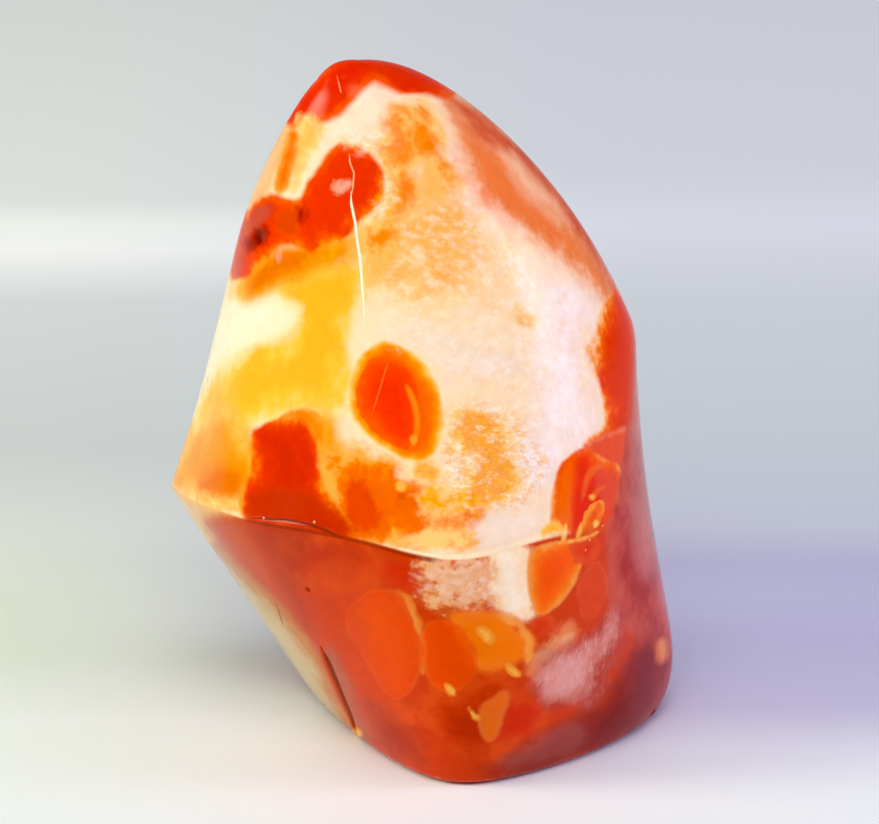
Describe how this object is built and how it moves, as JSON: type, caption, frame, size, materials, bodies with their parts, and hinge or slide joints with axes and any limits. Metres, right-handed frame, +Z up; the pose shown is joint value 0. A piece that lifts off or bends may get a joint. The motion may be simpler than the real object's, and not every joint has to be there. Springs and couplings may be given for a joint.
{
  "type": "carnelian flame carving",
  "caption": "Free-standing polished carnelian flame: broad bowed faces lean in to a tip above a crisp belt ridge, on a flat ground base.",
  "frame": {"origin": "centre of the bounding box on the plane of the flat base", "axes": "+Z up the stone towards its tip, -Y towards the viewer of the picture, +X to the viewer's right"},
  "size_m": [0.1088, 0.0866, 0.149],
  "materials": {
    "carnelian": "polished translucent carnelian, red and orange eyes in cream and pinkish quartz"
  },
  "bodies": {
    "root": {"flame_stone": "carnelian"}
  },
  "joints": []
}
